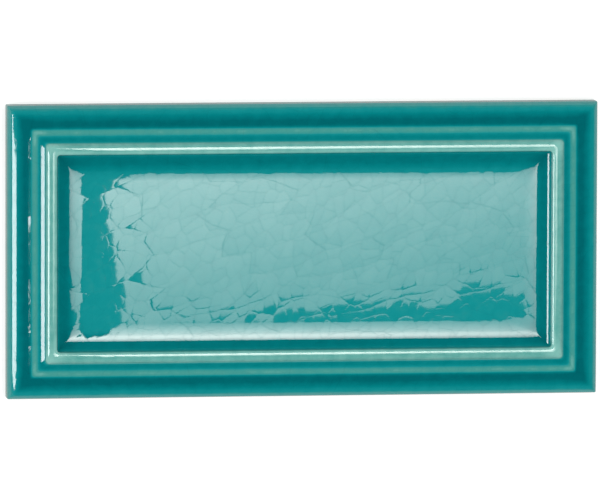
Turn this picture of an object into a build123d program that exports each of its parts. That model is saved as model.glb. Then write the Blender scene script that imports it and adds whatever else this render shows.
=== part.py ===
from build123d import *
import math
import os

# Framed wall tile with a crackle glaze: one pressed and fired piece of glazed
# earthenware. A stepped moulding with mitred corners runs round a sunk, flat
# field, and the back has shallow grooves that key it to the tile adhesive.
# Millimetres, +Z up. The tile lies on its back with its face up: the origin is
# the middle of the back, X runs along the long side and Y along the short one.

# Fired size of a 10 x 20 cm tile that leaves room for a 2 mm joint
tile_length = 198.0
tile_width = 98.0

# Outer rim: a broad quarter round, then a tread that rises gently inwards
rim_height = 9.3
rim_round = 4.0
rim_width = 6.2
rim_slope = 9.0

# Low step between the rim and the bead, softened by the glaze
step_rise = 0.55
step_riser_slope = 17.3
step_width = 3.85
step_slope = 9.0
step_round = 4.0
step_foot_round = 4.0

# Bead with a crowned top, the highest part of the frame
bead_rise = 1.85
bead_riser_slope = 56.0
bead_width = 2.9
bead_crown = 0.2
bead_foot_round = 3.3
bead_outer_round = 1.4
bead_crest_round = 5.8
bead_inner_round = 0.9

# Riser on the inner side of the bead, drafted off upright, and the hollow at its foot
inner_riser_draft = 11.53
inner_foot_round = 1.5

# Cove that runs from the foot of the bead down to a lip that eases into the field
cove_slope = 12.5
cove_run = 3.5
cove_round = 18.0
lip_slope = 3.0
lip_run = 3.35
lip_round = 70.0

# Body thickness at the sunk field
field_height = 9.4

# Back: a bevel round the edge, and a row of keying grooves with drafted walls
back_bevel = 0.8
groove_count = 8
groove_width = 6.0
groove_pitch = 10.5
groove_depth = 0.8
groove_draft = 30.0
groove_end_margin = 12.0


def rising(start, run, slope):
    """The point that lies run further in than start, on a tread that rises at slope degrees."""
    return (start[0] + run, start[1] + run * math.tan(math.radians(slope)))


def climbing(start, rise, slope):
    """The point that lies rise above start, up a riser of that slope in degrees."""
    return (start[0] + rise / math.tan(math.radians(slope)), start[1] + rise)


# Corners of the moulding, as (inset from the outer edge, height above the back)
rim_edge = (0.0, rim_height)
rim_foot = rising(rim_edge, rim_width, rim_slope)
step_arris = climbing(rim_foot, step_rise, step_riser_slope)
step_foot = rising(step_arris, step_width, step_slope)
bead_outer = climbing(step_foot, bead_rise, bead_riser_slope)
bead_crest = (bead_outer[0] + bead_width / 2, bead_outer[1] + bead_crown)
bead_inner = (bead_outer[0] + bead_width, bead_outer[1])

# Height that the cove and its lip rise above the field, and the riser that meets them there
_, lip_height = rising((0.0, field_height), lip_run, lip_slope)
_, cove_height = rising((0.0, lip_height), cove_run, cove_slope)
cove_top = climbing(bead_inner, cove_height - bead_inner[1], inner_riser_draft - 90)
cove_base = rising(cove_top, cove_run, -cove_slope)
field_lip = rising(cove_base, lip_run, -lip_slope)

# The lip's arc ends on the field one tangent length past the corner that it rounds
lip_tangent = lip_round * math.tan(math.radians(lip_slope) / 2)
field_inset = field_lip[0] + lip_tangent
frame_inset = field_inset + back_bevel


def moulding_section():
    """Section of one side of the frame: inset runs along X, height along Y."""
    corners = [
        ((back_bevel, 0.0), 0.0),
        ((0.0, back_bevel), 0.0),
        (rim_edge, rim_round),
        (rim_foot, step_foot_round),
        (step_arris, step_round),
        (step_foot, bead_foot_round),
        (bead_outer, bead_outer_round),
        (bead_crest, bead_crest_round),
        (bead_inner, bead_inner_round),
        (cove_top, inner_foot_round),
        (cove_base, cove_round),
        (field_lip, lip_round),
        ((frame_inset, field_height), 0.0),
        ((frame_inset, 0.0), 0.0),
    ]
    points = [point for point, _ in corners]
    radii = [radius for _, radius in corners]
    return make_face(FilletPolyline(points, radius=radii, close=True))


def mitred_side(run, reach):
    """One side of the frame, run long and reach away from the centre, mitred at both ends."""
    across = Plane(origin=(0, -reach, 0), x_dir=(0, 1, 0), z_dir=(1, 0, 0))
    moulding = extrude(across * moulding_section(), amount=run / 2, both=True)
    plan = Polyline(
        (-run / 2, -reach),
        (run / 2, -reach),
        (run / 2 - frame_inset, frame_inset - reach),
        (frame_inset - run / 2, frame_inset - reach),
        close=True,
    )
    return moulding & extrude(make_face(plan), amount=2 * bead_crest[1])


def moulded_frame():
    """The two long and two short sides, joined at the mitres."""
    long_side = mitred_side(tile_length, tile_width / 2)
    short_side = Rot(Z=90) * mitred_side(tile_width, tile_length / 2)
    half_frame = long_side + short_side
    return half_frame + Rot(Z=180) * half_frame


def field_plate():
    """The flat body inside the frame, whose top is the sunk field."""
    return Box(
        tile_length - 2 * field_inset,
        tile_width - 2 * field_inset,
        field_height,
        align=(Align.CENTER, Align.CENTER, Align.MIN),
    )


def keying_grooves():
    """Round-ended grooves along the back, narrower at the bottom than at the mouth."""
    groove_length = tile_length - 2 * groove_end_margin
    mouth = SlotOverall(groove_length, groove_width)
    groove = extrude(mouth, amount=groove_depth, taper=groove_draft)
    return [place * groove for place in GridLocations(0, groove_pitch, 1, groove_count)]


tile = moulded_frame() + field_plate() - keying_grooves()

os.makedirs("parts", exist_ok=True)
export_step(tile, "parts/tile.step")
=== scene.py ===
"""Looks of the framed crackle glaze wall tile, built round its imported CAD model."""

import logging
import math
from collections.abc import Iterable, Mapping
from dataclasses import dataclass, field
from enum import Enum
from itertools import pairwise
from typing import Any

import bpy
from mathutils import Matrix, Vector


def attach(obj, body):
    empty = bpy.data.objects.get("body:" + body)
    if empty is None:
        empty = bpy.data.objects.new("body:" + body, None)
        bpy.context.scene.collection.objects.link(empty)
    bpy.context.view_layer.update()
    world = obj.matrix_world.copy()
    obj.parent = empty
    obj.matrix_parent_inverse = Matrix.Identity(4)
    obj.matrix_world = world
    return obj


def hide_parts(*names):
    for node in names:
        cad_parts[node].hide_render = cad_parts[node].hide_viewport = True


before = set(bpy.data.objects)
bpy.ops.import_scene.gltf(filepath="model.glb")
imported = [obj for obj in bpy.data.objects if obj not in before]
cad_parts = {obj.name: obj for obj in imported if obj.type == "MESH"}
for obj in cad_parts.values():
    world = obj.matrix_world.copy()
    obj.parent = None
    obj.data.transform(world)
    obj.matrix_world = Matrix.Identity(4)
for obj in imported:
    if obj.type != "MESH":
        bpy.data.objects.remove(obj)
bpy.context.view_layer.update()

log = logging.getLogger("tile")

Tree = bpy.types.NodeTree
Socket = bpy.types.NodeSocket
Node = bpy.types.Node

MM = 0.001
NODE = "tile"
FILM = "glaze_depth"

# Shortest length that counts, in metres
HAIR = 0.001 * MM

# Range that most values of a noise texture lie in
NOISE_RANGE = (0.25, 0.75)

# Specular level at which a surface reflects as its index of refraction says
FULL_GLOSS = 0.5

# Option of a range node that eases in and out
EASED = {"interpolation_type": "SMOOTHSTEP"}

# Numbers of a mix node's two inputs and of its output, by the type of the values
MIX_SOCKETS = {"FLOAT": (2, 3, 0), "RGBA": (6, 7, 2)}

# The photograph's frame, in pixels, and the camera's sensor width in millimetres
IMAGE_SIZE = (600, 500)
SENSOR = 36.0


class Kind(Enum):
    """Node types that the trees use more than once."""

    MATH = "ShaderNodeMath"
    VECTOR = "ShaderNodeVectorMath"
    RANGE = "ShaderNodeMapRange"
    SPLIT = "ShaderNodeSeparateXYZ"
    JOIN = "ShaderNodeCombineXYZ"
    NOISE = "ShaderNodeTexNoise"
    VORONOI = "ShaderNodeTexVoronoi"
    MAPPING = "ShaderNodeMapping"
    COORDS = "ShaderNodeTexCoord"
    SURFACE = "ShaderNodeNewGeometry"
    MIX = "ShaderNodeMix"
    PRINCIPLED = "ShaderNodeBsdfPrincipled"
    OUTPUT = "ShaderNodeOutputMaterial"
    RAY = "ShaderNodeLightPath"
    INDEX = "GeometryNodeInputIndex"
    PLACE = "GeometryNodeSetPosition"
    LINE = "GeometryNodeMeshLine"
    REALIZE = "GeometryNodeRealizeInstances"
    FILLET = "GeometryNodeFilletCurve"
    SHADE = "GeometryNodeSetShadeSmooth"
    COAT = "GeometryNodeSetMaterial"


def add(tree: Tree, kind: Kind | str, inputs: Any = (), **settings: Any) -> Node:
    """Adds a node with its options, and fills or links its inputs.

    Args:
        tree: Tree that the node goes in.
        kind: Type of the node.
        inputs: Values, sockets or nodes for the inputs, by name in a mapping or in order; a node
            stands for its first output, and None leaves an input alone.
        settings: Options of the node.

    Returns:
        The new node.
    """
    node = tree.nodes.new(kind.value if isinstance(kind, Kind) else kind)
    for option, value in settings.items():
        setattr(node, option, value)
    for key, value in inputs.items() if isinstance(inputs, Mapping) else enumerate(inputs):
        if isinstance(value, Node):
            value = value.outputs[0]
        if isinstance(value, Socket):
            tree.links.new(value, node.inputs[key])
        elif value is not None:
            node.inputs[key].default_value = value
    return node


def calc(tree: Tree, operation: str, *terms: Any) -> Node:
    """Adds a math node that does an operation on its terms."""
    return add(tree, Kind.MATH, terms, operation=operation)


def calc_xyz(tree: Tree, operation: str, *terms: Any) -> Node:
    """Adds a vector math node that does an operation on its terms."""
    return add(tree, Kind.VECTOR, terms, operation=operation)


def mix(tree: Tree, sort: str, share: Any, first: Any, second: Any) -> Socket:
    """Adds a mix node that gives the first value at a share of 0 and the second at 1."""
    low, high, mixed = MIX_SOCKETS[sort]
    inputs = {"Factor": share, low: first, high: second}
    return add(tree, Kind.MIX, inputs, data_type=sort).outputs[mixed]


def linear(colour: str) -> tuple[float, float, float, float]:
    """Turns an sRGB hex colour into linear RGBA.

    Args:
        colour: Colour as "#RRGGBB".

    Returns:
        Linear red, green and blue, and an alpha of 1.
    """
    parts = (int(colour[i : i + 2], 16) / 255 for i in (1, 3, 5))
    red, green, blue = (c / 12.92 if c <= 0.04045 else ((c + 0.055) / 1.055) ** 2.4 for c in parts)
    return red, green, blue, 1.0


def blank_material(name: str) -> tuple[bpy.types.Material, Tree]:
    """Makes a material with an empty node tree.

    Args:
        name: Name of the material.

    Returns:
        The material and its tree.
    """
    material = bpy.data.materials.new(name)
    material.use_nodes = True
    material.node_tree.nodes.clear()
    return material, material.node_tree


@dataclass(frozen=True)
class Plates:
    """One generation of crazing: plates of about one size, in millimetres and degrees."""

    length: float
    width: float
    # Lean of the plates' long axis, their tilt at most, and what their doming adds at the edge
    lean: float
    tilt: float
    dome: float
    # Slope of their rounded edges, and how wide that rounding is
    edge_slope: float = 0.0
    edge_width: float = 0.5
    # How far the cracks between them are open, as a share of the widest ones
    gap: float = 1.0

    def cut(self, tree: Tree, place: Node, crack_width: float) -> tuple[Node, Node]:
        """Cuts the film into these plates.

        Args:
            tree: The glaze's tree.
            place: Place on the face in millimetres.
            crack_width: Width of the cracks in millimetres.

        Returns:
            Node with the slant that a plate adds to the normal, and node that is 1 in a crack.
        """
        turn = (0.0, 0.0, math.radians(self.lean))
        grid = {"Vector": place, "Rotation": turn, "Scale": (self.length, self.width, 1.0)}
        spot = {"Vector": add(tree, Kind.MAPPING, grid, vector_type="TEXTURE"), "Scale": 1.0}
        cells = add(tree, Kind.VORONOI, spot, voronoi_dimensions="2D", feature="F1")
        edge = add(tree, Kind.VORONOI, spot, voronoi_dimensions="2D", feature="DISTANCE_TO_EDGE")
        most = 2 * math.radians(self.tilt)
        chance = calc_xyz(tree, "SUBTRACT", cells.outputs["Color"], (0.5, 0.5, 0.5))
        tilt = calc_xyz(tree, "MULTIPLY", chance, (most, most, 0.0))
        apart = calc_xyz(tree, "SUBTRACT", spot["Vector"], cells.outputs["Position"])
        curve = 2 * math.radians(self.dome) / self.width
        bent = (self.length * curve, self.width * curve, 0.0)
        bow = {"Vector": apart, "Rotation": turn, "Scale": bent}
        dome = add(tree, Kind.MAPPING, bow, vector_type="VECTOR")
        slant = calc_xyz(tree, "ADD", tilt, dome)
        mean = (self.length * self.width) ** 0.5
        steep = math.radians(self.edge_slope)
        near = add(tree, Kind.RANGE, (edge, 0.0, self.edge_width / mean, steep, 0.0), **EASED)
        outward = calc_xyz(tree, "NORMALIZE", dome)
        rounded = add(tree, Kind.VECTOR, {0: outward, "Scale": near}, operation="SCALE")
        slant = calc_xyz(tree, "ADD", slant, rounded)
        crack = add(tree, Kind.RANGE, (edge, 0.0, crack_width / mean, self.gap, 0.0), **EASED)
        return slant, crack


@dataclass(frozen=True)
class CrackleGlaze:
    """Transparent teal glaze, fired glossy on a pale body and crazed by its own shrinking.

    Where the melt ran off an edge the film is thin and the pale clay shows through; in the feet
    of the moulding it pooled and is deep teal. The crazing cuts it into plates that are slightly
    tilted and domed, so a reflected edge breaks up into shards and scallops.
    """

    # Film colours from the thinnest, on the bead, to the deepest pool, as (depth, colour)
    film: tuple[tuple[float, str], ...] = (
        (0.0, "#86C4BB"),
        (0.2, "#489E97"),
        (0.5, "#159497"),
        (0.75, "#028286"),
        (1.0, "#00686E"),
    )
    ior: float = 1.56
    roughness: float = 0.02
    # Share of the gloss that is lost in a crack, and how far it darkens the film
    crack_loss: float = 0.32
    crack_shade: float = 0.09
    # Crack width in millimetres, a few times the real hairline so that it shows at all
    crack_width: float = 0.2
    # Long first cracks, then the shorter ones that split their plates
    crazing: tuple[Plates, ...] = (
        Plates(length=24.0, width=7.0, lean=22.0, tilt=0.09, dome=0.06, edge_slope=0.18),
        Plates(length=5.5, width=4.0, lean=62.0, tilt=0.1, dome=0.02, edge_slope=0.15, gap=0.8),
    )
    # Part of the endless crack pattern that this tile shows, as a shift in millimetres
    start: tuple[float, float, float] = (600.0, 0.0, 0.0)
    # Slow bend of the cracks and the chipped raggedness of their edges: size and push in millimetres
    bend: tuple[float, float] = (30.0, 10.0)
    chip: tuple[float, float] = (2.4, 0.7)
    # Slow ripple and fine grain of the melt: wavelength in millimetres and tilt in degrees
    ripple: tuple[float, float] = (13.0, 0.05)
    grain: tuple[float, float] = (1.8, 0.02)
    # Faint mottle of the film: size in millimetres, and what it adds to the depth at most
    mottle: tuple[float, float] = (3.5, 0.05)
    # On the moulding the film was drawn taut: share of the unevenness there, and the slopes in degrees
    # from which that holds and below which the film lies free
    taut: float = 0.4
    taut_slopes: tuple[float, float] = (8.0, 5.0)

    def material(self) -> bpy.types.Material:
        """Makes the glaze's material.

        Returns:
            The material.
        """
        material, tree = blank_material("crackle_glaze_fired_gloss")
        place = add(tree, Kind.COORDS)
        to_mm = (1 / MM, 1 / MM, 0.0)
        in_mm = calc_xyz(tree, "MULTIPLY", place.outputs["Object"], to_mm)
        normal, crack = self._crazed(tree, in_mm)
        dulled = FULL_GLOSS * (1 - self.crack_loss)
        gloss = add(tree, Kind.RANGE, (crack, 0.0, 1.0, FULL_GLOSS, dulled))
        look = {
            "Base Color": self._film_colour(tree, in_mm, crack),
            "Roughness": self.roughness,
            "IOR": self.ior,
            "Specular IOR Level": gloss,
            "Normal": normal,
        }
        add(tree, Kind.OUTPUT, {"Surface": add(tree, Kind.PRINCIPLED, look)})
        return material

    def _crazed(self, tree: Tree, in_mm: Node) -> tuple[Node, Node]:
        """Cuts the film into plates, and lets the melt ripple slowly.

        Args:
            tree: The glaze's tree.
            in_mm: Place on the face in millimetres.

        Returns:
            Node with the surface normal, and node that is 1 in a crack.
        """
        in_mm = place = calc_xyz(tree, "ADD", in_mm, self.start)
        for size, push in (self.bend, self.chip):
            waver = self._waver(tree, in_mm, size, push)
            place = calc_xyz(tree, "ADD", place, waver)
        waves = [
            self._waver(tree, in_mm, size, 4 * math.radians(tilt))
            for size, tilt in (self.ripple, self.grain)
        ]
        slant = calc_xyz(tree, "ADD", *waves)
        crack = None
        for plates in self.crazing:
            part, cut = plates.cut(tree, place, self.crack_width)
            slant = calc_xyz(tree, "ADD", slant, part)
            crack = cut if crack is None else calc(tree, "MAXIMUM", crack, cut)
        upright = add(tree, Kind.SURFACE).outputs["Normal"]
        level = add(tree, Kind.SPLIT, (upright,)).outputs["Z"]
        steep, flat = (math.cos(math.radians(slope)) for slope in self.taut_slopes)
        share = add(tree, Kind.RANGE, (level, steep, flat, self.taut, 1.0))
        eased = add(tree, Kind.VECTOR, {0: slant, "Scale": share}, operation="SCALE")
        bent = calc_xyz(tree, "ADD", upright, eased)
        return calc_xyz(tree, "NORMALIZE", bent), crack

    def _waver(self, tree: Tree, in_mm: Node, size: float, push: float) -> Node:
        """Makes a random push in the plane of the face.

        Args:
            tree: The glaze's tree.
            in_mm: Place on the face in millimetres.
            size: Wavelength in millimetres.
            push: Range of the push.

        Returns:
            Node with the push.
        """
        noise = add(tree, Kind.NOISE, {"Vector": in_mm, "Scale": 1 / size, "Detail": 2.0})
        level = calc_xyz(tree, "SUBTRACT", noise.outputs["Color"], (0.5, 0.5, 0.5))
        return calc_xyz(tree, "MULTIPLY", level, (push, push, 0.0))

    def _film_colour(self, tree: Tree, in_mm: Node, crack: Node) -> Socket:
        """Colours the film by its depth, with a faint mottle and darker cracks.

        Args:
            tree: The glaze's tree.
            in_mm: Place on the face in millimetres.
            crack: Factor that is 1 in a crack.

        Returns:
            Socket with the colour.
        """
        depth = add(tree, "ShaderNodeAttribute", attribute_name=FILM, attribute_type="GEOMETRY")
        size, most = self.mottle
        mottle = add(tree, Kind.NOISE, {"Vector": in_mm, "Scale": 1 / size, "Detail": 3.0})
        drift = add(tree, Kind.RANGE, (mottle, *NOISE_RANGE, -most, most))
        uneven = calc(tree, "ADD", depth.outputs["Fac"], drift)
        ramp = add(tree, "ShaderNodeValToRGB", (uneven,))
        stops = ramp.color_ramp.elements
        stops[0].position, stops[1].position = self.film[0][0], self.film[-1][0]
        stops[0].color, stops[1].color = linear(self.film[0][1]), linear(self.film[-1][1])
        for position, colour in self.film[1:-1]:
            stops.new(position).color = linear(colour)
        shade = calc(tree, "MULTIPLY", crack, self.crack_shade)
        return mix(tree, "RGBA", shade, ramp.outputs["Color"], (0.0, 0.0, 0.0, 1.0))


@dataclass(frozen=True)
class BiscuitClay:
    """Pressed earthenware body, biscuit fired and left bare on the back: matt, cream and gritty."""

    clay: str = "#DCCBB3"
    grit: str = "#B79C7F"
    roughness: float = 0.85
    # Size of the grit and of the pressing dust's cloudy marks, in millimetres
    grit_size: float = 0.5
    cloud_size: float = 14.0
    # Noise levels at which the specks and the marks begin and are full, and their strength
    specks: tuple[float, float, float] = (0.58, 0.72, 0.7)
    marks: tuple[float, float, float] = (0.35, 0.75, 0.3)
    # Strength of the grit's relief, and its height in millimetres
    relief: tuple[float, float] = (0.35, 0.1)

    def material(self) -> bpy.types.Material:
        """Makes the bare clay's material.

        Returns:
            The material.
        """
        material, tree = blank_material("earthenware_biscuit_pressed")
        place = add(tree, Kind.COORDS).outputs["Object"]
        grit, cloud = (
            add(tree, Kind.NOISE, {"Vector": place, "Scale": 1 / (size * MM), "Detail": detail})
            for size, detail in ((self.grit_size, 2.0), (self.cloud_size, 3.0))
        )
        layers = [
            add(tree, Kind.RANGE, (noise, start, full, 0.0, strength))
            for noise, (start, full, strength) in ((grit, self.specks), (cloud, self.marks))
        ]
        share = calc(tree, "MAXIMUM", *layers)
        colour = mix(tree, "RGBA", share, linear(self.clay), linear(self.grit))
        strength, height = self.relief
        rough = {"Strength": strength, "Distance": height * MM, "Height": grit}
        bump = add(tree, "ShaderNodeBump", rough)
        look = {"Base Color": colour, "Roughness": self.roughness, "Normal": bump}
        add(tree, Kind.OUTPUT, {"Surface": add(tree, Kind.PRINCIPLED, look)})
        return material


@dataclass(frozen=True)
class Corner:
    """One corner of the moulding's section, in millimetres."""

    name: str
    inset: float
    height: float
    rounding: float = 0.0


@dataclass
class Moulding:
    """Section of the frame from the outer edge in to the sunk field, in millimetres and degrees."""

    rim_height: float = 9.3
    rim_round: float = 4.0
    rim_width: float = 6.2
    rim_slope: float = 9.0
    step_rise: float = 0.55
    step_riser_slope: float = 17.3
    step_width: float = 3.85
    step_slope: float = 9.0
    step_round: float = 4.0
    step_foot_round: float = 4.0
    bead_rise: float = 1.85
    bead_riser_slope: float = 56.0
    bead_width: float = 2.9
    bead_crown: float = 0.2
    bead_outer_round: float = 1.4
    bead_crest_round: float = 5.8
    bead_inner_round: float = 0.9
    bead_foot_round: float = 3.3
    inner_riser_draft: float = 11.53
    inner_foot_round: float = 1.5
    cove_slope: float = 12.5
    cove_run: float = 3.5
    cove_round: float = 18.0
    lip_slope: float = 3.0
    lip_run: float = 3.35
    lip_round: float = 70.0
    field_height: float = 9.4
    back_bevel: float = 0.8
    # Depth of the glaze film by inset: 0 on a bare edge, 1 in the deepest pool
    film: tuple[tuple[float, float], ...] = (
        (0.0, 0.36),
        (0.8, 0.38),
        (2.0, 0.52),
        (4.6, 0.9),
        (6.1, 1.0),
        (7.1, 0.9),
        (8.0, 0.35),
        (8.7, 0.2),
        (9.4, 0.28),
        (10.6, 0.68),
        (11.2, 0.72),
        (12.3, 0.25),
        (13.0, 0.1),
        (14.4, 0.12),
        (15.7, 0.05),
        (16.2, 0.3),
        (16.9, 0.72),
        (17.9, 0.85),
        (19.3, 0.86),
        (20.3, 0.79),
        (21.4, 0.7),
        (22.6, 0.57),
        (25.5, 0.5),
    )

    def corners(self, half_width: float) -> list[Corner]:
        """Lists the section's corners.

        Args:
            half_width: Distance from the outer edge to the tile's middle.

        Returns:
            The corners in order, from the middle of the back round to the middle of the field.
        """
        rim_foot = (self.rim_width, self.rim_height + self.rim_width * self._grade(self.rim_slope))
        step_top = rim_foot[1] + self.step_rise
        arris = rim_foot[0] + self.step_rise / self._grade(self.step_riser_slope)
        step_foot = (arris + self.step_width, step_top + self.step_width * self._grade(self.step_slope))
        bead_outer = step_foot[0] + self.bead_rise / self._grade(self.bead_riser_slope)
        bead_top = step_foot[1] + self.bead_rise
        bead_crest = bead_outer + self.bead_width / 2
        bead_inner = bead_outer + self.bead_width
        lip_top = self.field_height + self.lip_run * self._grade(self.lip_slope)
        cove_height = lip_top + self.cove_run * self._grade(self.cove_slope)
        cove_top = bead_inner + (bead_top - cove_height) * self._grade(self.inner_riser_draft)
        cove_base = cove_top + self.cove_run
        lip = cove_base + self.lip_run
        return [
            Corner("Back middle", half_width, 0.0),
            Corner("Back edge", self.back_bevel, 0.0),
            Corner("Side foot", 0.0, self.back_bevel),
            Corner("Rim edge", 0.0, self.rim_height, self.rim_round),
            Corner("Rim foot", *rim_foot, self.step_foot_round),
            Corner("Step arris", arris, step_top, self.step_round),
            Corner("Step foot", *step_foot, self.bead_foot_round),
            Corner("Bead outer", bead_outer, bead_top, self.bead_outer_round),
            Corner("Bead crest", bead_crest, bead_top + self.bead_crown, self.bead_crest_round),
            Corner("Bead inner", bead_inner, bead_top, self.bead_inner_round),
            Corner("Cove top", cove_top, cove_height, self.inner_foot_round),
            Corner("Cove base", cove_base, lip_top, self.cove_round),
            Corner("Field lip", lip, self.field_height, self.lip_round),
            Corner("Field middle", half_width, self.field_height),
        ]

    def field_inset(self, half_width: float) -> float:
        """Finds where the lip ends and the flat field starts.

        Args:
            half_width: Distance from the outer edge to the tile's middle.

        Returns:
            Inset of the field's edge.
        """
        lip = self.corners(half_width)[-2].inset
        return lip + self.lip_round * self._grade(self.lip_slope / 2)

    @staticmethod
    def _grade(slope: float) -> float:
        """Gives the rise per run of a slope in degrees."""
        return math.tan(math.radians(slope))


@dataclass
class KeyedBack:
    """Row of grooves that keys the back to the adhesive, in millimetres and degrees."""

    count: int = 8
    pitch: float = 10.5
    width: float = 6.0
    depth: float = 0.8
    draft: float = 30.0
    end_margin: float = 12.0
    # How far the cutters reach out below the back, so that they cut it cleanly
    overcut: float = 0.3
    # Rounding of a groove's ends as a share of its width, a hair under half, and its points
    end_share: float = 0.499
    end_points: int = 8


@dataclass
class FramedTile:
    """The tile: one closed body whose section runs round a rectangle, with mitred corners."""

    length: float = 198.0
    width: float = 98.0
    moulding: Moulding = field(default_factory=Moulding)
    back: KeyedBack = field(default_factory=KeyedBack)
    # Reach of the rounding at the mitred corners: outer edge, bead's inner edge, cove, field
    outer_corner: float = 0.5
    bead_corner: float = 1.6
    cove_corner: float = 0.02
    field_corner: float = 8.0
    # How far along a side the corner draws the melt off its edges into its hollows, and how strongly
    corner_reach: float = 7.0
    corner_draw: float = 0.25
    # Sag of the melt on the moulding, and its wavelength
    sag: float = 0.01
    sag_size: float = 11.0
    # Height on the sides below which nothing sags
    sag_foot: float = 3.0
    # Part of the noise that the sag follows, as a shift in millimetres
    sag_shift: tuple[float, float, float] = (0.0, 0.0, 40.0)
    # Heights on the sides where the film starts to run thin and is thinnest, and what it loses; this
    # paler film low on the sides is also painted light against the shade there
    heights_of_thinning_and_painted_light: tuple[float, float] = (7.0, 3.0)
    thinning_and_painted_light: float = 0.2
    # Height on the sides at which the glaze stops, how far that line wanders, and its wavelength
    glaze_line: float = 0.1
    glaze_line_wander: float = 0.7
    glaze_line_size: float = 9.0
    # Insets between which the back turns bare to the bottoms of its grooves
    bare_insets: tuple[float, float] = (1.0, 2.0)
    # Edges that turn by more than this many degrees stay keen
    keen_angle: float = 32.0
    # Divisions of the mesh: along a long and a short side, and across the section
    long_steps: int = 104
    short_steps: int = 64
    back_rings: int = 2
    moulding_rings: int = 190
    field_rings: int = 6
    # Points on each rounding of the section
    round_points: int = 14

    def build(self, glaze: bpy.types.Material, clay: bpy.types.Material) -> bpy.types.Object:
        """Builds the tile as a plain mesh.

        Args:
            glaze: Material of the glazed face and sides.
            clay: Material of the bare back.

        Returns:
            The tile's object.
        """
        tree = self._rule()
        piece = bpy.data.objects.new("tile_glazed", bpy.data.meshes.new("tile_glazed"))
        rule = piece.modifiers.new("tile_rule", "NODES")
        rule.node_group = tree
        values = self._sizes() | {"Glaze": glaze, "Clay": clay}
        for socket in tree.interface.items_tree:
            if socket.in_out == "INPUT" and socket.name in values:
                rule[socket.identifier] = values[socket.name]
        bpy.context.scene.collection.objects.link(piece)
        solved = piece.evaluated_get(bpy.context.evaluated_depsgraph_get())
        mesh = bpy.data.meshes.new_from_object(solved)
        piece.modifiers.remove(rule)
        piece.data = mesh
        return piece

    def _sizes(self) -> dict[str, Any]:
        """Gives the rule's named inputs, in metres."""
        half = self.width / 2
        sizes: dict[str, Any] = {
            corner.name: (corner.inset * MM, corner.height * MM, corner.rounding * MM)
            for corner in self.moulding.corners(half)
        }
        lengths = {
            "Half length": self.length / 2,
            "Half width": half,
            "Field inset": self.moulding.field_inset(half),
            "Back bevel": self.moulding.back_bevel,
            "Outer corner": self.outer_corner,
            "Bead corner": self.bead_corner,
            "Cove corner": self.cove_corner,
            "Field corner": self.field_corner,
            "Sag": self.sag,
            "Groove pitch": self.back.pitch,
            "Groove width": self.back.width,
            "Groove length": self.length - 2 * self.back.end_margin,
            "Groove depth": self.back.depth,
        }
        return sizes | {name: length * MM for name, length in lengths.items()}

    def _rule(self) -> Tree:
        """Builds the tree that makes the tile.

        Returns:
            The geometry node tree.
        """
        tree = bpy.data.node_groups.new("framed_tile_rule", "GeometryNodeTree")
        for name, value in self._sizes().items():
            sort = "NodeSocketVector" if isinstance(value, tuple) else "NodeSocketFloat"
            tree.interface.new_socket(name, in_out="INPUT", socket_type=sort)
        for name in ("Glaze", "Clay"):
            tree.interface.new_socket(name, in_out="INPUT", socket_type="NodeSocketMaterial")
        tree.interface.new_socket("Tile", in_out="OUTPUT", socket_type="NodeSocketGeometry")
        given = add(tree, "NodeGroupInput").outputs
        section = self._section(tree, given)
        body = self._body(tree, given, section)
        keyed = self._keyed(tree, given, body)
        add(tree, "NodeGroupOutput", (self._dressed(tree, given, keyed),))
        return tree

    def _section(self, tree: Tree, given: Any) -> Node:
        """Draws the section as a rounded curve, with inset along X and height along Y.

        Args:
            tree: The tile's tree.
            given: The tree's input sockets.

        Returns:
            Node with the curve.
        """
        corners = self.moulding.corners(self.width / 2)
        chosen = add(tree, "GeometryNodeIndexSwitch", (add(tree, Kind.INDEX),), data_type="VECTOR")
        for _ in corners[2:]:
            chosen.index_switch_items.new()
        for position, corner in enumerate(corners):
            tree.links.new(given[corner.name], chosen.inputs[position + 1])
        line = add(tree, Kind.LINE, {"Count": len(corners), "Offset": (MM, 0.0, 0.0)})
        curve = add(tree, "GeometryNodeMeshToCurve", (line,))
        flat = calc_xyz(tree, "MULTIPLY", chosen, (1.0, 1.0, 0.0))
        placed = add(tree, Kind.PLACE, {"Geometry": curve, "Position": flat})
        rounding = add(tree, Kind.SPLIT, (chosen,)).outputs["Z"]
        soft = {"Curve": placed, "Count": self.round_points, "Radius": rounding}
        return add(tree, Kind.FILLET, soft, mode="POLY")

    def _body(self, tree: Tree, given: Any, section: Node) -> Node:
        """Carries the section round the rectangle and closes it on the middle line.

        Args:
            tree: The tile's tree.
            given: The tree's input sockets.
            section: Curve of the section.

        Returns:
            Node with the closed body, which carries the glaze film's depth.
        """
        rings = self.back_rings + self.moulding_rings + self.field_rings
        half_turn = self.long_steps + self.short_steps
        counts = {"Vertices X": 2 * half_turn + 1, "Vertices Y": rings + 1}
        grid = add(tree, "GeometryNodeMeshGrid", counts)
        index = add(tree, Kind.INDEX)
        middle = calc(tree, "ADD", index, 0.5)
        column = calc(tree, "DIVIDE", middle, rings + 1.0)
        station = calc(tree, "FLOOR", column)
        before = calc(tree, "MULTIPLY", station, rings + 1.0)
        ring = calc(tree, "SUBTRACT", index, before)
        sample = self._sampled(tree, given, section, ring)
        along = add(tree, Kind.SPLIT, (sample.outputs["Position"],))
        inset, height = along.outputs["X"], along.outputs["Y"]
        plan, to_corner = self._plan(tree, given, station, inset)
        sunk = self._sagged(tree, given, plan, height)
        parts = add(tree, Kind.SPLIT, (plan,))
        spot = add(tree, Kind.JOIN, (parts.outputs["X"], parts.outputs["Y"], sunk))
        placed = add(tree, Kind.PLACE, {"Geometry": grid, "Position": spot})
        film = self._film_depth(tree, inset, height, to_corner)
        filmed = add(
            tree,
            "GeometryNodeStoreNamedAttribute",
            {"Geometry": placed, "Name": FILM, "Value": film},
            data_type="FLOAT",
            domain="POINT",
        )
        return add(tree, "GeometryNodeMergeByDistance", {"Geometry": filmed, "Distance": HAIR})

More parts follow.
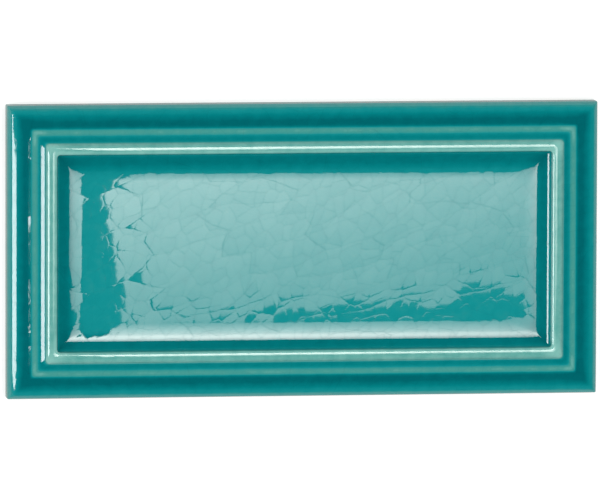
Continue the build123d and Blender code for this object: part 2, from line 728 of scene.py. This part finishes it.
    def _sampled(self, tree: Tree, given: Any, section: Node, ring: Node) -> Node:
        """Spaces the rings along the section: few on the flats, many on the moulding.

        Args:
            tree: The tile's tree.
            given: The tree's input sockets.
            section: Curve of the section.
            ring: Number of the ring, from the middle of the back.

        Returns:
            Node that samples the section there.
        """
        whole = add(tree, "GeometryNodeCurveLength", (section,))
        back = calc(tree, "SUBTRACT", given["Half width"], given["Back bevel"])
        flat = calc(tree, "SUBTRACT", given["Half width"], given["Field inset"])
        flats = calc(tree, "ADD", back, flat)
        moulded = calc(tree, "SUBTRACT", whole, flats)
        start = 0.0
        run = None
        for count, part in (
            (self.back_rings, back),
            (self.moulding_rings, moulded),
            (self.field_rings, flat),
        ):
            stretch = add(tree, Kind.RANGE, (ring, start, start + count, 0.0, part))
            run = stretch if run is None else calc(tree, "ADD", run, stretch)
            start += count
        return add(
            tree,
            "GeometryNodeSampleCurve",
            {"Curves": section, "Length": run},
            mode="LENGTH",
            use_all_curves=True,
            data_type="FLOAT",
        )

    def _plan(self, tree: Tree, given: Any, station: Node, inset: Socket) -> tuple[Node, Socket]:
        """Finds the place in plan of a station on the ring at an inset, with softened corners.

        Args:
            tree: The tile's tree.
            given: The tree's input sockets.
            station: Number of the station, counted round from the lower left corner.
            inset: Distance in from the outer edge.

        Returns:
            Node with the place, and socket with the distance along the ring to the nearest corner.
        """
        half_turn = self.long_steps + self.short_steps
        middle = calc(tree, "ADD", station, 0.5)
        turns = calc(tree, "DIVIDE", middle, float(half_turn))
        half = calc(tree, "FLOOR", turns)
        passed = calc(tree, "MULTIPLY", half, float(half_turn))
        step = calc(tree, "SUBTRACT", station, passed)
        angle = calc(tree, "MULTIPLY", half, math.pi)
        sign = calc(tree, "COSINE", angle)
        across = add(tree, Kind.RANGE, (step, 0.0, float(self.long_steps), -1.0, 1.0), **EASED)
        up = add(tree, Kind.RANGE, (step, float(self.long_steps), float(half_turn), -1.0, 1.0), **EASED)
        way = add(tree, Kind.JOIN, (across, up, 0.0))
        turned = add(tree, Kind.VECTOR, {0: way, "Scale": sign}, operation="SCALE")
        outer = add(tree, Kind.JOIN, (given["Half length"], given["Half width"], 0.0))
        inward = add(tree, Kind.JOIN, (inset, inset, 0.0))
        reach = calc_xyz(tree, "SUBTRACT", outer, inward)
        square = calc_xyz(tree, "MULTIPLY", turned, reach)
        size = calc_xyz(tree, "ABSOLUTE", turned)
        spare = calc_xyz(tree, "SUBTRACT", (1.0, 1.0, 0.0), size)
        to_corner = calc_xyz(tree, "DOT_PRODUCT", spare, reach).outputs["Value"]
        wanted = self._rounding(tree, given, inset)
        room = add(tree, Kind.SPLIT, (reach,)).outputs["Y"]
        fitting = calc(tree, "MINIMUM", wanted, room)
        radius = calc(tree, "MAXIMUM", fitting, HAIR)
        short = calc(tree, "SUBTRACT", radius, to_corner)
        near = calc(tree, "MAXIMUM", short, 0.0)
        squared = calc(tree, "MULTIPLY", near, near)
        quarter = calc(tree, "DIVIDE", squared, radius)
        cut = calc(tree, "MULTIPLY", quarter, 0.25)
        facing = calc_xyz(tree, "SIGN", turned)
        trim = add(tree, Kind.VECTOR, {0: facing, "Scale": cut}, operation="SCALE")
        return calc_xyz(tree, "SUBTRACT", square, trim), to_corner

    def _rounding(self, tree: Tree, given: Any, inset: Socket) -> Socket | Node:
        """Finds how far the corner of the ring at an inset is rounded.

        Args:
            tree: The tile's tree.
            given: The tree's input sockets.
            inset: Distance in from the outer edge.

        Returns:
            Node with the rounding's reach.
        """
        bead, cove, base = (
            add(tree, Kind.SPLIT, (given[name],)).outputs["X"]
            for name in ("Bead inner", "Cove top", "Cove base")
        )
        stops = (
            (0.0, given["Outer corner"]),
            (bead, given["Bead corner"]),
            (cove, given["Cove corner"]),
            (base, given["Cove corner"]),
            (given["Field inset"], given["Field corner"]),
        )
        reach = stops[0][1]
        for (start, low), (end, high) in pairwise(stops):
            change = calc(tree, "SUBTRACT", high, low)
            part = add(tree, Kind.RANGE, (inset, start, end, 0.0, change))
            reach = calc(tree, "ADD", reach, part)
        return reach

    def _sagged(self, tree: Tree, given: Any, plan: Node, height: Socket) -> Node:
        """Lets the melt sag a little, downwards only, so that highlights on the moulding waver.

        Args:
            tree: The tile's tree.
            given: The tree's input sockets.
            plan: Place in plan.
            height: Height of the section there.

        Returns:
            Node with the height after sagging.
        """
        shift = tuple(step * MM for step in self.sag_shift)
        spot = calc_xyz(tree, "ADD", plan, shift)
        wave = add(tree, Kind.NOISE, {"Vector": spot, "Scale": 1 / (self.sag_size * MM), "Detail": 0.0})
        low, high = self.sag_foot * MM, self.moulding.rim_height * MM
        upper = add(tree, Kind.RANGE, (height, low, high, 0.0, given["Sag"]))
        drop = calc(tree, "MULTIPLY", wave, upper)
        return calc(tree, "SUBTRACT", height, drop)

    def _film_depth(self, tree: Tree, inset: Socket, height: Socket, to_corner: Socket) -> Node:
        """Reads the glaze film's depth from the section: uneven at corners, thin low on the sides,
        where the paler film is also painted light against the shade.

        Args:
            tree: The tile's tree.
            inset: Distance in from the outer edge.
            height: Height above the back.
            to_corner: Distance along the ring to the nearest corner.

        Returns:
            Node with the depth.
        """
        reach = self.moulding.film[-1][0]
        share = add(tree, Kind.RANGE, (inset, 0.0, reach * MM, 0.0, 1.0))
        film = add(tree, "ShaderNodeFloatCurve", {"Value": share})
        profile = film.mapping.curves[0]
        first, last = profile.points[0], profile.points[1]
        first.location = (0.0, self.moulding.film[0][1])
        last.location = (1.0, self.moulding.film[-1][1])
        for where, depth in self.moulding.film[1:-1]:
            profile.points.new(where / reach, depth)
        film.mapping.update()
        fade = (to_corner, 0.0, self.corner_reach * MM, self.corner_draw, 0.0)
        draw = add(tree, Kind.RANGE, fade, **EASED)
        field_film = self.moulding.film[-1][1]
        apart = calc(tree, "SUBTRACT", film, field_film)
        uneven = calc(tree, "MULTIPLY_ADD", apart, draw, film)
        above, below = (level * MM for level in self.heights_of_thinning_and_painted_light)
        # Low on the sides the film runs thin, and this paler film is also painted light against the
        # shade there
        side_thinning_and_painted_light = add(tree, Kind.RANGE, (height, above, below, 0.0, -self.thinning_and_painted_light))
        return calc(tree, "ADD", uneven, side_thinning_and_painted_light)

    def _keyed(self, tree: Tree, given: Any, body: Node) -> Node:
        """Cuts the row of grooves into the back.

        Args:
            tree: The tile's tree.
            given: The tree's input sockets.
            body: The closed body.

        Returns:
            Node with the body, keyed.
        """
        draft = math.tan(math.radians(self.back.draft))
        both = add(tree, "GeometryNodeJoinGeometry")
        depth = given["Groove depth"]
        flare = calc(tree, "MULTIPLY", depth, -2 * draft)
        mouth = (2 * draft * self.back.overcut * MM, -self.back.overcut * MM)
        for spread, level in (mouth, (flare, depth)):
            long = calc(tree, "ADD", given["Groove length"], spread)
            wide = calc(tree, "ADD", given["Groove width"], spread)
            size = {"Width": long, "Height": wide}
            outline = add(tree, "GeometryNodeCurvePrimitiveQuadrilateral", size)
            round_end = calc(tree, "MULTIPLY", wide, self.back.end_share)
            soft = {"Curve": outline, "Count": self.back.end_points, "Radius": round_end}
            slot = add(tree, Kind.FILLET, soft, mode="POLY")
            lift = add(tree, Kind.JOIN, (0.0, 0.0, level))
            raised = add(tree, "GeometryNodeTransform", {"Geometry": slot, "Translation": lift})
            tree.links.new(raised.outputs[0], both.inputs[0])
        cutter = add(tree, "GeometryNodeConvexHull", (both,))
        pitch = add(tree, Kind.JOIN, (0.0, given["Groove pitch"], 0.0))
        steps_back = -0.5 * (self.back.count - 1)
        start = add(tree, Kind.VECTOR, {0: pitch, "Scale": steps_back}, operation="SCALE")
        row = add(tree, Kind.LINE, {"Count": self.back.count, "Start Location": start, "Offset": pitch})
        cutters = add(tree, "GeometryNodeInstanceOnPoints", {"Points": row, "Instance": cutter})
        solid = add(tree, Kind.REALIZE, (cutters,))
        return add(
            tree,
            "GeometryNodeMeshBoolean",
            {"Mesh 1": body, "Mesh 2": solid},
            operation="DIFFERENCE",
            solver="EXACT",
        )

    def _cove_mitre(self, tree: Tree, given: Any, insets: Node) -> Node:
        """Marks the keen line on which two sides of the cove meet.

        Args:
            tree: The tile's tree.
            given: The tree's input sockets.
            insets: Node with the distances in from a short and from a long edge.

        Returns:
            Node with one on that line and nought elsewhere.
        """
        short, long = insets.outputs["X"], insets.outputs["Y"]
        on_line = calc(tree, "COMPARE", short, long, 5 * HAIR)
        top = add(tree, Kind.SPLIT, (given["Cove top"],)).outputs["X"]
        inside = calc(tree, "GREATER_THAN", short, top)
        return calc(tree, "MULTIPLY", on_line, inside)

    def _glaze_limit(self, tree: Tree, spot: Node, insets: Node) -> Node:
        """Finds the height below which the clay is bare: low on the sides, and all over the back.

        Args:
            tree: The tile's tree.
            spot: Place on the tile.
            insets: Node with the distances in from a short and from a long edge.

        Returns:
            Node with the height.
        """
        scale = 1 / (self.glaze_line_size * MM)
        wander = add(tree, Kind.NOISE, {"Vector": spot, "Scale": scale, "Detail": 2.0})
        lowest, highest = self.glaze_line * MM, (self.glaze_line + self.glaze_line_wander) * MM
        line = add(tree, Kind.RANGE, (wander, *NOISE_RANGE, lowest, highest))
        edge = calc(tree, "MINIMUM", insets.outputs["X"], insets.outputs["Y"])
        # Higher away from the edge, so that the grooves are bare to their bottoms
        start, full = (inset * MM for inset in self.bare_insets)
        deeper = add(tree, Kind.RANGE, (edge, start, full, 0.0, 2 * self.back.depth * MM))
        return calc(tree, "ADD", line, deeper)

    def _dressed(self, tree: Tree, given: Any, keyed: Node) -> Node:
        """Smooths the faces and gives them their finish.

        Args:
            tree: The tile's tree.
            given: The tree's input sockets.
            keyed: The body with its grooves.

        Returns:
            Node with the finished tile.
        """
        smooth = add(tree, Kind.SHADE, {"Geometry": keyed, "Shade Smooth": True}, domain="FACE")
        angle = add(tree, "GeometryNodeInputMeshEdgeAngle")
        limit = math.radians(self.keen_angle)
        sharp = calc(tree, "GREATER_THAN", angle, limit)
        spot = add(tree, "GeometryNodeInputPosition")
        away = calc_xyz(tree, "ABSOLUTE", spot)
        outer = add(tree, Kind.JOIN, (given["Half length"], given["Half width"], 0.0))
        insets = add(tree, Kind.SPLIT, (calc_xyz(tree, "SUBTRACT", outer, away),))
        keen = calc(tree, "MAXIMUM", sharp, self._cove_mitre(tree, given, insets))
        crisp = {"Geometry": smooth, "Selection": keen, "Shade Smooth": False}
        creased = add(tree, Kind.SHADE, crisp, domain="EDGE")
        height = add(tree, Kind.SPLIT, (spot,)).outputs["Z"]
        stop = self._glaze_limit(tree, spot, insets)
        low = calc(tree, "LESS_THAN", height, stop)
        glazed = add(tree, Kind.COAT, {"Geometry": creased, "Material": given["Glaze"]})
        bare = {"Geometry": glazed, "Selection": low, "Material": given["Clay"]}
        return add(tree, Kind.REALIZE, (add(tree, Kind.COAT, bare),))


@dataclass
class Softbox:
    """A rectangular lamp with an even or a domed glow, seen only as light and as a reflection."""

    name: str
    centre: tuple[float, float, float]
    size: tuple[float, float]
    radiance: float
    # Point that it faces, and its turn about that line in degrees
    facing: tuple[float, float, float]
    turn: float = 0.0
    # Middle of the hot spot across the lamp and its spread, as shares of the size; none is even
    hot_spot: tuple[float, float] | None = None
    spread: tuple[float, float] = (1.0, 1.0)
    # What the frame's bent corner covers of a domed lamp's first corner, as shares of the size
    clipped: tuple[float, float] = (0.001, 0.001)
    colour: str = "#FFFFFF"

    def build(self) -> bpy.types.Object:
        """Makes the lamp.

        Returns:
            The lamp's object.
        """
        lamp = bpy.data.lights.new(self.name, "AREA")
        lamp.shape = "RECTANGLE"
        lamp.size, lamp.size_y = self.size
        # One watt per square metre and per steradian over the lamp's face
        lamp.energy = math.pi * self.size[0] * self.size[1]
        lamp.use_nodes = True
        tree = lamp.node_tree
        tree.nodes.clear()
        glow = self.radiance if self.hot_spot is None else self._glow(tree)
        emission = add(tree, "ShaderNodeEmission", {"Color": linear(self.colour), "Strength": glow})
        add(tree, "ShaderNodeOutputLight", (emission,))
        holder = bpy.data.objects.new(self.name, lamp)
        aim = Vector(self.facing) - Vector(self.centre)
        roll = Matrix.Rotation(math.radians(self.turn), 3, "Z")
        turned = aim.to_track_quat("-Z", "Y").to_matrix() @ roll
        holder.matrix_world = Matrix.Translation(self.centre) @ turned.to_4x4()
        holder.visible_camera = False
        bpy.context.scene.collection.objects.link(holder)
        return holder

    def _glow(self, tree: Tree) -> Node:
        """Fades the lamp from its hot spot to its edges.

        Args:
            tree: The lamp's tree.

        Returns:
            Node with the radiance.
        """
        across = add(tree, Kind.SURFACE).outputs["Parametric"]
        apart = calc_xyz(tree, "SUBTRACT", across, (*self.hot_spot, 0.0))
        narrow = (*(1 / share for share in self.spread), 0.0)
        scaled = calc_xyz(tree, "MULTIPLY", apart, narrow)
        square = calc_xyz(tree, "DOT_PRODUCT", scaled, scaled).outputs["Value"]
        fall = calc(tree, "MULTIPLY", square, -0.5)
        glow = calc(tree, "EXPONENT", fall)
        steps = (*(1 / share for share in self.clipped), 0.0)
        past = calc_xyz(tree, "DOT_PRODUCT", across, steps).outputs["Value"]
        lit = calc(tree, "GREATER_THAN", past, 1.0)
        level = calc(tree, "MULTIPLY", lit, self.radiance)
        return calc(tree, "MULTIPLY", glow, level)


@dataclass
class Studio:
    """Plain studio round the tile: pale floor, white surroundings, two softboxes and the camera."""

    # Even fill from all round, and what a glossy face mirrors overhead
    fill: float = 0.71
    overhead: float = 0.006
    # What it mirrors of the walls, and the sine of the height at which they have faded out
    wall: float = 0.5
    wall_top: float = 0.1
    # White that the floor shows the camera, the share of it that mirrors show, and its own pale colour
    floor_glow: float = 0.62
    floor_mirrored: float = 0.25
    floor_colour: str = "#C4C4C4"
    # Side of the floor in metres, its roughness, and how far it lies below the tile in millimetres
    floor_size: float = 6.0
    floor_roughness: float = 0.9
    floor_drop: float = 0.05
    # Camera: tilt to the left and to the top in degrees, roll, distance, scale and aim
    lean: tuple[float, float] = (7.2, 5.8)
    roll: float = 0.165
    distance: float = 3.2603
    pixels_per_mm: float = 2.996
    origin_pixel: tuple[float, float] = (300.6, 247.9)
    # How far the camera sees, in metres
    sight: float = 20.0
    lamps: tuple[Softbox, ...] = (
        Softbox(
            "overhead_softbox",
            centre=(0.1394, 0.0479, 1.010),
            size=(0.2192, 0.3482),
            radiance=14.3,
            facing=(0.1394, 0.0479, 0.0),
            turn=5.6,
            hot_spot=(0.1, 0.57),
            spread=(1.1, 0.32),
            clipped=(0.028, 0.15),
            colour="#FFFDF7",
        ),
        Softbox(
            "side_strip",
            centre=(-1.5, -0.215, 1.496),
            size=(0.128, 2.092),
            radiance=12.5,
            facing=(0.0, -0.215, 1.496),
            turn=-4.15,
        ),
    )

    def build(self) -> None:
        """Makes the floor, the surroundings, the lamps and the camera."""
        self._floor()
        self._surroundings()
        for lamp in self.lamps:
            lamp.build()
            log.info("lamp %s", lamp.name)
        self._camera()
        bpy.context.scene.view_settings.view_transform = "Standard"

    def _floor(self) -> bpy.types.Object:
        """Lays the floor under the tile.

        Returns:
            The floor's object.
        """
        material, tree = blank_material("studio_floor_matt_white")
        ray = add(tree, Kind.RAY)
        seen = calc(tree, "MULTIPLY", ray.outputs["Is Glossy Ray"], self.floor_mirrored)
        for kind in ("Is Camera Ray", "Is Transmission Ray"):
            seen = calc(tree, "MAXIMUM", seen, ray.outputs[kind])
        glow = calc(tree, "MULTIPLY", seen, self.floor_glow)
        look = {
            "Base Color": linear(self.floor_colour),
            "Roughness": self.floor_roughness,
            "Emission Color": (1.0, 1.0, 1.0, 1.0),
            "Emission Strength": glow,
        }
        bsdf = add(tree, Kind.PRINCIPLED, look)
        add(tree, Kind.OUTPUT, {"Surface": bsdf})
        half = self.floor_size / 2
        mesh = bpy.data.meshes.new("studio_floor")
        corners = [(-half, -half, 0), (half, -half, 0), (half, half, 0), (-half, half, 0)]
        mesh.from_pydata(corners, [], [(0, 1, 2, 3)])
        mesh.materials.append(material)
        floor = bpy.data.objects.new("studio_floor", mesh)
        # A hair below the tile, so that their faces don't fight
        floor.location.z = -self.floor_drop * MM
        bpy.context.scene.collection.objects.link(floor)
        return floor

    def _surroundings(self) -> None:
        """Makes the world: white to the eye, dim and even as fill, dark overhead in reflections."""
        world = bpy.data.worlds.new("studio_surroundings")
        bpy.context.scene.world = world
        world.use_nodes = True
        tree = world.node_tree
        tree.nodes.clear()
        ray = add(tree, Kind.RAY)
        way = add(tree, Kind.SPLIT, (add(tree, Kind.COORDS).outputs["Generated"],)).outputs["Z"]
        # White walls up to a few degrees above the horizon, then a dark ceiling
        fade = (way, 0.0, self.wall_top, self.wall, self.overhead)
        wall = add(tree, Kind.RANGE, fade, **EASED)
        light = mix(tree, "FLOAT", ray.outputs["Is Glossy Ray"], self.fill, wall)
        seen = calc(tree, "MAXIMUM", ray.outputs["Is Camera Ray"], ray.outputs["Is Transmission Ray"])
        strength = mix(tree, "FLOAT", seen, light, 1.0)
        glow = add(tree, "ShaderNodeBackground", {"Color": (1.0, 1.0, 1.0, 1.0), "Strength": strength})
        add(tree, "ShaderNodeOutputWorld", {"Surface": glow})

    def _camera(self) -> None:
        """Sets the camera up as the photograph's view asks."""
        left, top = (math.tan(math.radians(angle)) for angle in self.lean)
        back = Vector((-left, top, 1.0)).normalized()
        right = Vector((0.0, 1.0, 0.0)).cross(back).normalized()
        up = back.cross(right)
        turn = math.radians(self.roll)
        level, plumb = right, up
        right = level * math.cos(turn) + plumb * math.sin(turn)
        up = plumb * math.cos(turn) - level * math.sin(turn)
        aside = (IMAGE_SIZE[0] / 2 - self.origin_pixel[0]) / self.pixels_per_mm * MM
        above = (self.origin_pixel[1] - IMAGE_SIZE[1] / 2) / self.pixels_per_mm * MM
        lens = bpy.data.cameras.new("photo_view")
        lens.sensor_width = SENSOR
        lens.lens = self.pixels_per_mm / MM * self.distance * SENSOR / IMAGE_SIZE[0]
        lens.clip_end = self.sight
        camera = bpy.data.objects.new("photo_view", lens)
        axes = Matrix((right, up, back)).transposed()
        place = back * self.distance + right * aside + up * above
        camera.matrix_world = Matrix.Translation(place) @ axes.to_4x4()
        bpy.context.scene.collection.objects.link(camera)
        bpy.context.scene.camera = camera


def main() -> None:
    """Builds the tile and its studio."""
    logging.basicConfig(level=logging.INFO)
    tile = FramedTile().build(CrackleGlaze().material(), BiscuitClay().material())
    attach(tile, "root")
    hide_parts(NODE)
    log.info("tile: %d points, %d faces", len(tile.data.vertices), len(tile.data.polygons))
    Studio().build()


if __name__ == "__main__":
    main()
